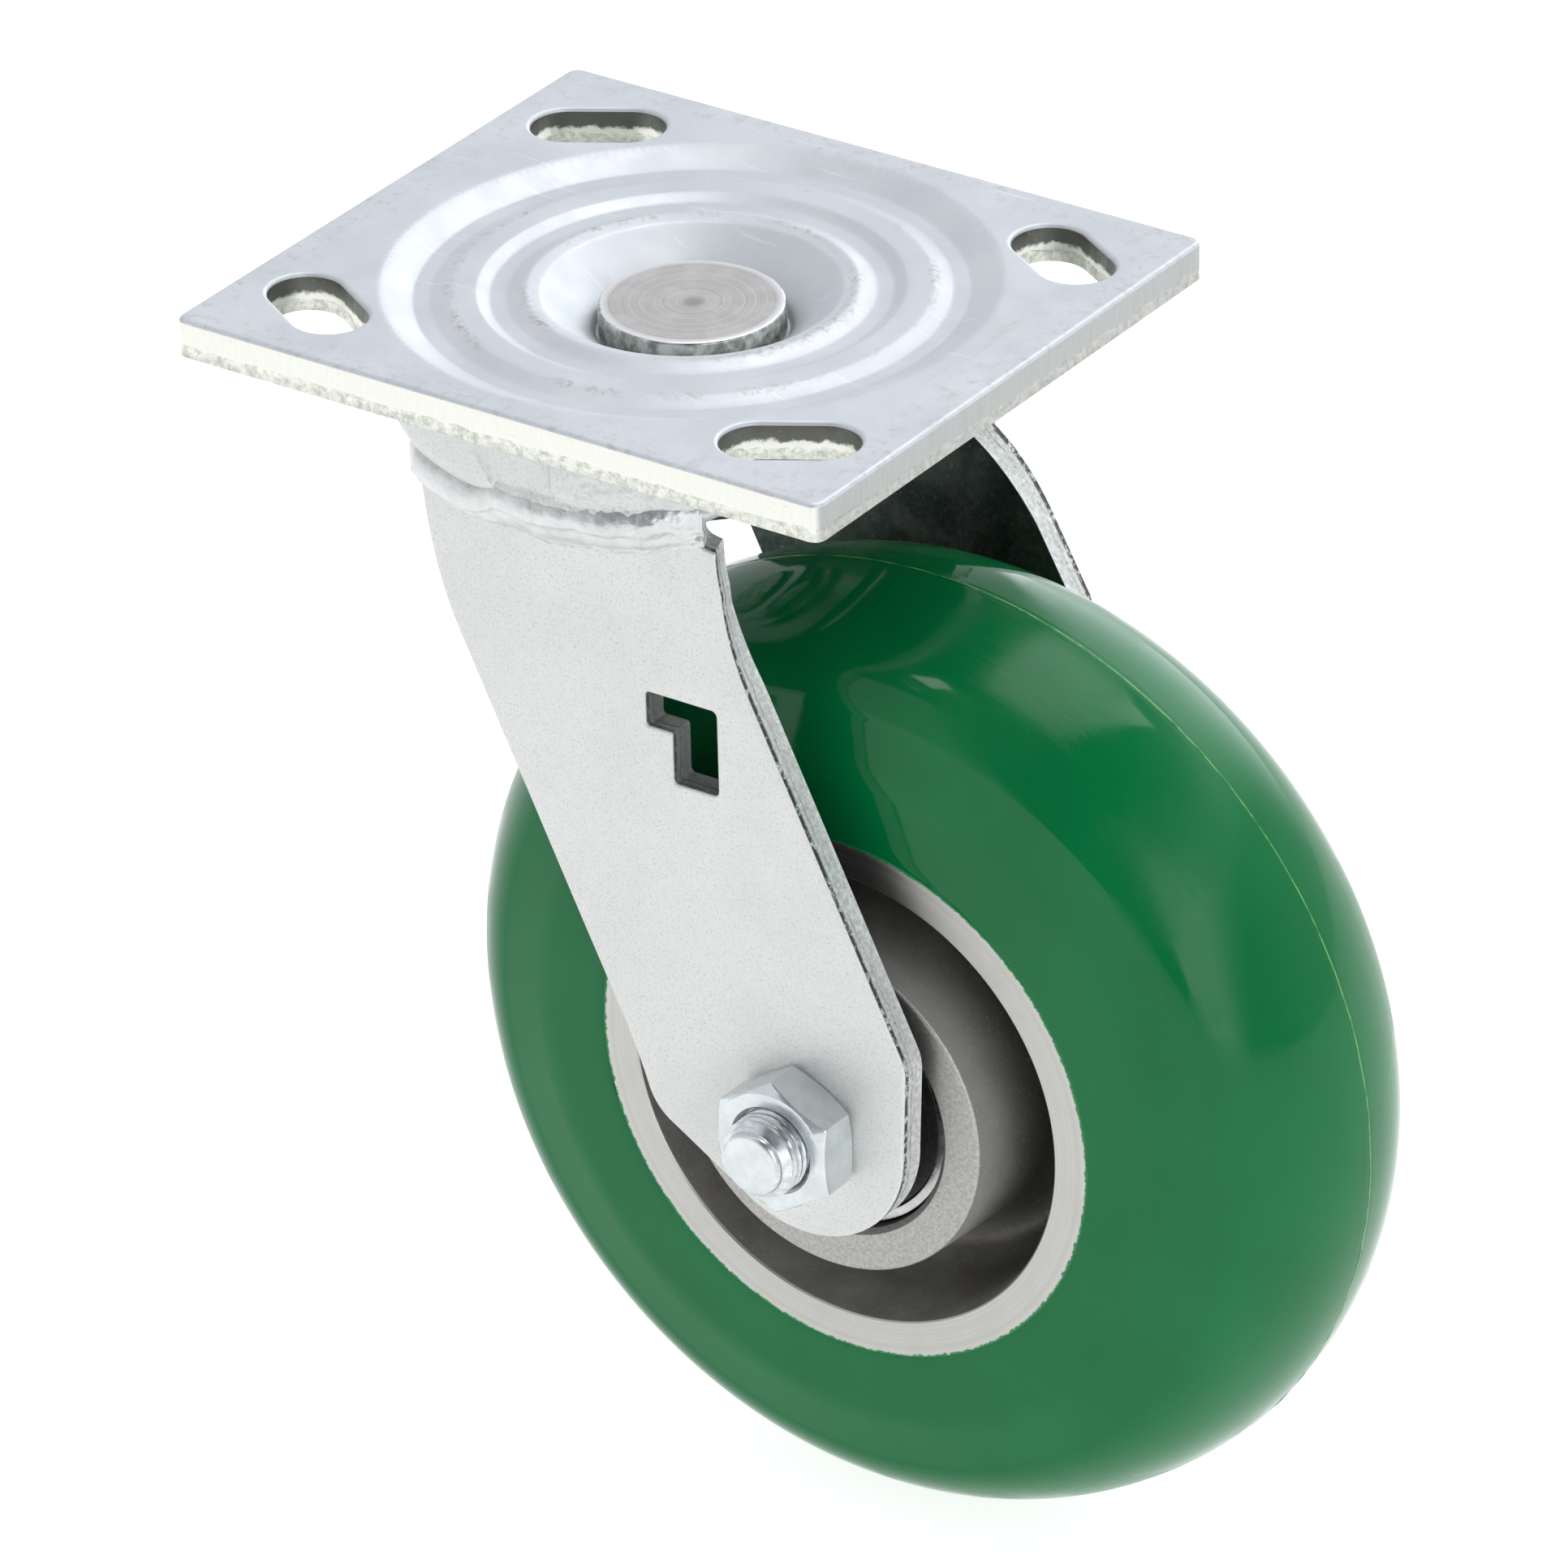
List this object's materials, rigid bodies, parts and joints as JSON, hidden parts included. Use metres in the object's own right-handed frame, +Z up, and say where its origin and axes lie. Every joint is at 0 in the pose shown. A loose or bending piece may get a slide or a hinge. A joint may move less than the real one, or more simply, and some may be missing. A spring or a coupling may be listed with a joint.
{
  "type": "swivel plate caster wheel",
  "caption": "Swivel plate caster: a green polyurethane wheel on ball bearings in a swept steel fork that turns under a slotted plate.",
  "frame": {"origin": "on the swivel axis, in the top face of the plate", "axes": "+Z up along the swivel axis, +X from the swivel axis towards the wheel at rest, Y along the axle"},
  "size_m": [0.1749, 0.1016, 0.1904],
  "materials": {
    "zinc_plate": "satin bright zinc plating on a pressed steel plate",
    "zinc_leg": "satin zinc plating with a fine blasted grain",
    "zinc_bright": "bright zinc plated fastener",
    "pin_steel": "turned steel, dull brownish grey face",
    "race_steel": "machined bearing steel",
    "ball_steel": "polished bearing balls",
    "weld_metal": "weld under zinc plating",
    "aluminium": "cast aluminium with machined rim and hub faces",
    "green_urethane": "glossy green polyurethane",
    "black_rubber": "matt black bearing seal"
  },
  "bodies": {
    "plate": {"top_plate": "zinc_plate", "kingpin": "pin_steel", "lower_race_cup": "race_steel", "kingpin_washer": "zinc_bright", "kingpin_nut": "zinc_bright"},
    "fork": {"yoke_base": "zinc_leg", "fork_leg_left": "zinc_leg", "fork_leg_right": "zinc_leg", "leg_weld_left": "weld_metal", "leg_weld_right": "weld_metal", "axle_bolt": "zinc_bright", "axle_nut": "zinc_bright", "spanner_bushing": "race_steel", "bearing_left_inner_ring": "race_steel", "bearing_right_inner_ring": "race_steel"},
    "wheel": {"wheel_core": "aluminium", "wheel_tread": "green_urethane", "bearing_left_outer_ring": "race_steel", "bearing_left_seal_outside": "black_rubber", "bearing_left_seal_inside": "black_rubber", "bearing_right_outer_ring": "race_steel", "bearing_right_seal_outside": "black_rubber", "bearing_right_seal_inside": "black_rubber"},
    "upper_balls": {"upper_ball_row": "ball_steel"},
    "lower_balls": {"lower_ball_row": "ball_steel"},
    "left_bearing_balls": {"bearing_left_balls": "ball_steel"},
    "right_bearing_balls": {"bearing_right_balls": "ball_steel"}
  },
  "joints": [
    {"name": "swivel", "type": "hinge", "parent": "plate", "child": "fork", "pos_m": [0, 0, 0], "axis": [0, 0, 1], "continuous": true},
    {"name": "wheel_spin", "type": "hinge", "parent": "fork", "child": "wheel", "pos_m": [0.0413, 0, -0.114], "axis": [0, 1, 0], "continuous": true},
    {"name": "upper_ball_orbit", "type": "hinge", "parent": "plate", "child": "upper_balls", "pos_m": [0, 0, -0.0111], "axis": [0, 0, 1], "continuous": true},
    {"name": "lower_ball_orbit", "type": "hinge", "parent": "plate", "child": "lower_balls", "pos_m": [0, 0, -0.0224], "axis": [0, 0, 1], "continuous": true},
    {"name": "left_ball_orbit", "type": "hinge", "parent": "fork", "child": "left_bearing_balls", "pos_m": [0.0413, -0.0212, -0.114], "axis": [0, 1, 0], "continuous": true},
    {"name": "right_ball_orbit", "type": "hinge", "parent": "fork", "child": "right_bearing_balls", "pos_m": [0.0413, 0.0212, -0.114], "axis": [0, 1, 0], "continuous": true}
  ],
  "couplings": [
    {"joint": "upper_ball_orbit", "follows": "swivel", "ratio": 0.5},
    {"joint": "lower_ball_orbit", "follows": "swivel", "ratio": 0.5},
    {"joint": "left_ball_orbit", "follows": "wheel_spin", "ratio": 0.618},
    {"joint": "right_ball_orbit", "follows": "wheel_spin", "ratio": 0.618}
  ]
}
